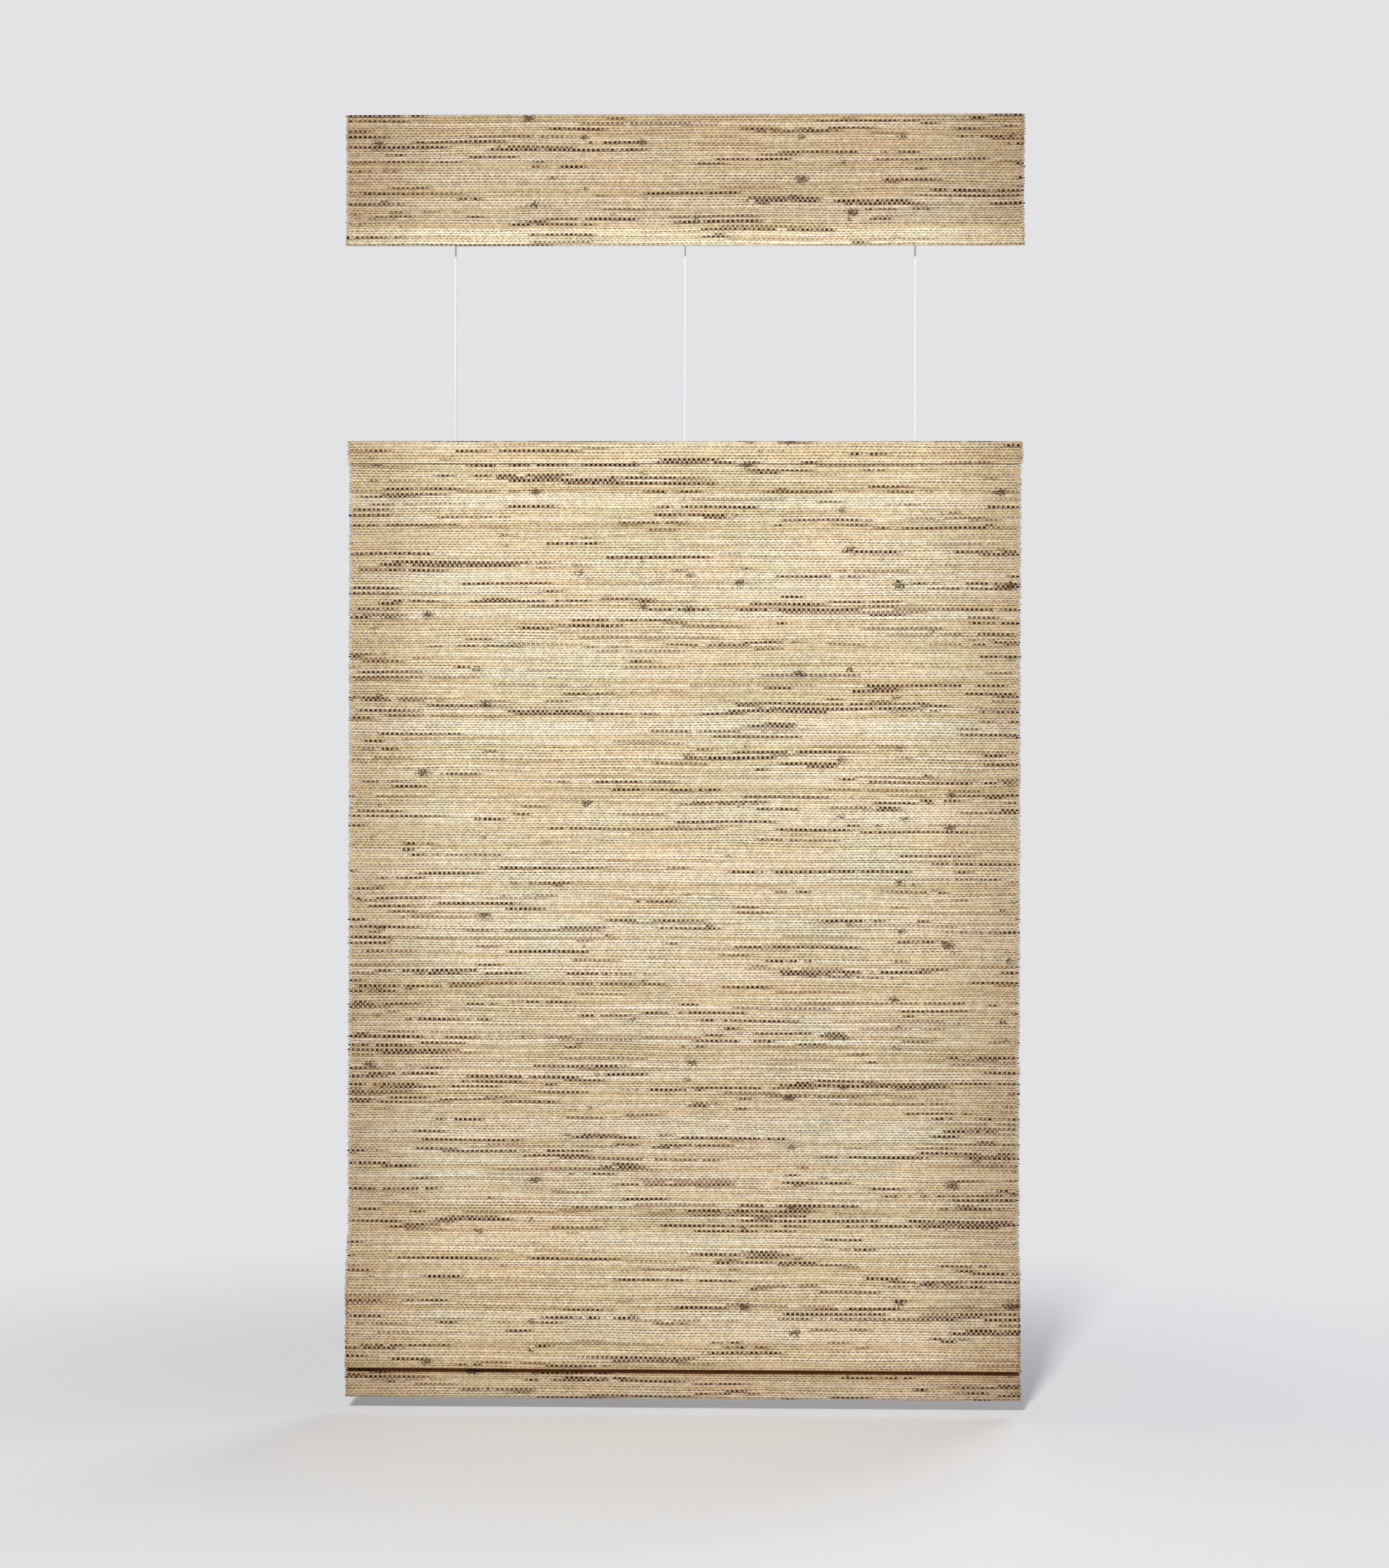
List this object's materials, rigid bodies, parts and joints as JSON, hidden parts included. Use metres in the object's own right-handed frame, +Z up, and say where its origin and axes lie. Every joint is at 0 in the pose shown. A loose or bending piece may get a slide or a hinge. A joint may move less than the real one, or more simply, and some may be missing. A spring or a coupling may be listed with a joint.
{
  "type": "top-down bottom-up woven wood shade",
  "caption": "Cordless woven grass shade whose top rail lowers and bottom rail lifts on taut cords from a spring headrail behind a valance.",
  "frame": {"origin": "centre of the mounting plane, where the brackets' top faces meet what they are screwed to", "axes": "+X along the width, +Y towards the glass, so the room side is -Y, +Z up"},
  "size_m": [0.805, 0.0638, 1.524],
  "materials": {
    "woven_grass": "matte woven grass and jute",
    "channel_white": "satin powder coat",
    "zinc_steel": "zinc plated",
    "cap_plastic": "moulded",
    "cap_tan": "moulded",
    "mechanism_plastic": "moulded",
    "spool_plastic": "moulded",
    "motor_plastic": "moulded",
    "spring_steel": "blued strip",
    "shaft_steel": "drawn",
    "cord_white": "braided polyester",
    "batten_wood": "planed",
    "bead_aluminium": "plain",
    "tape_white": "hook and loop pile",
    "ring_plastic": "moulded"
  },
  "bodies": {
    "headrail": {"headrail_channel": "channel_white", "left_end_cap": "cap_plastic", "right_end_cap": "cap_plastic", "left_mounting_bracket": "zinc_steel", "right_mounting_bracket": "zinc_steel", "spool_cradle_left": "mechanism_plastic", "spool_cradle_centre": "mechanism_plastic", "spool_cradle_right": "mechanism_plastic", "cord_guide_left": "mechanism_plastic", "cord_guide_centre": "mechanism_plastic", "cord_guide_right": "mechanism_plastic", "top_motor_case": "motor_plastic", "top_motor_cover": "motor_plastic", "top_motor_spring": "spring_steel", "bottom_motor_case": "motor_plastic", "bottom_motor_cover": "motor_plastic", "bottom_motor_spring": "spring_steel", "valance": "woven_grass", "valance_hook_tape": "tape_white", "valance_loop_tape": "tape_white"},
    "top_shaft": {"top_lift_shaft": "shaft_steel", "top_drive_drum": "spool_plastic", "top_wound_cord": "cord_white", "top_spool_left": "spool_plastic", "top_spool_centre": "spool_plastic", "top_spool_right": "spool_plastic"},
    "bottom_shaft": {"bottom_lift_shaft": "shaft_steel", "bottom_drive_drum": "spool_plastic", "bottom_wound_cord": "cord_white", "bottom_spool_left": "spool_plastic", "bottom_spool_centre": "spool_plastic", "bottom_spool_right": "spool_plastic"},
    "top_spring_store": {"top_storage_drum": "spool_plastic"},
    "bottom_spring_store": {"bottom_storage_drum": "spool_plastic"},
    "top_rail": {"top_rail_bar": "batten_wood", "top_rail_cover": "woven_grass", "top_rail_left_cap": "cap_tan", "top_rail_right_cap": "cap_tan", "top_cord_beads": "bead_aluminium", "shade_panel": "woven_grass", "panel_rings": "ring_plastic", "top_lift_cord_left": "cord_white", "top_lift_cord_centre": "cord_white", "top_lift_cord_right": "cord_white"},
    "bottom_rail": {"bottom_rail_bar": "batten_wood", "bottom_rail_cover": "woven_grass", "bottom_rail_left_cap": "cap_tan", "bottom_rail_right_cap": "cap_tan", "bottom_cord_beads": "bead_aluminium", "bottom_lift_cord_left": "cord_white", "bottom_lift_cord_centre": "cord_white", "bottom_lift_cord_right": "cord_white"}
  },
  "joints": [
    {"name": "top_rail_slide", "type": "slide", "parent": "headrail", "child": "top_rail", "axis": [0, 0, 1], "range_m": [-0.45, 0.335], "deforming": ["shade_panel", "panel_rings", "top_lift_cord_left", "top_lift_cord_centre", "top_lift_cord_right"]},
    {"name": "bottom_rail_slide", "type": "slide", "parent": "headrail", "child": "bottom_rail", "axis": [0, 0, 1], "range_m": [0, 0.45], "deforming": ["shade_panel", "panel_rings", "bottom_lift_cord_left", "bottom_lift_cord_centre", "bottom_lift_cord_right"]},
    {"name": "top_shaft_spin", "type": "hinge", "parent": "headrail", "child": "top_shaft", "pos_m": [0, -0.0105, -0.0215], "axis": [1, 0, 0], "range_deg": [-3149, 2345]},
    {"name": "bottom_shaft_spin", "type": "hinge", "parent": "headrail", "child": "bottom_shaft", "pos_m": [0, 0.0105, -0.0215], "axis": [1, 0, 0], "range_deg": [-3149, 4]},
    {"name": "top_store_spin", "type": "hinge", "parent": "headrail", "child": "top_spring_store", "pos_m": [0, 0.0105, -0.0215], "axis": [1, 0, 0], "range_deg": [-1962, 2634]},
    {"name": "bottom_store_spin", "type": "hinge", "parent": "headrail", "child": "bottom_spring_store", "pos_m": [0, -0.0105, -0.0215], "axis": [1, 0, 0], "range_deg": [-4, 2634]}
  ],
  "couplings": [
    {"joint": "top_shaft_spin", "follows": "top_rail_slide", "rad_per_m": 121.95},
    {"joint": "top_store_spin", "follows": "top_rail_slide", "rad_per_m": -101.98},
    {"joint": "bottom_shaft_spin", "follows": "bottom_rail_slide", "rad_per_m": -121.95},
    {"joint": "bottom_store_spin", "follows": "bottom_rail_slide", "rad_per_m": 101.98}
  ]
}
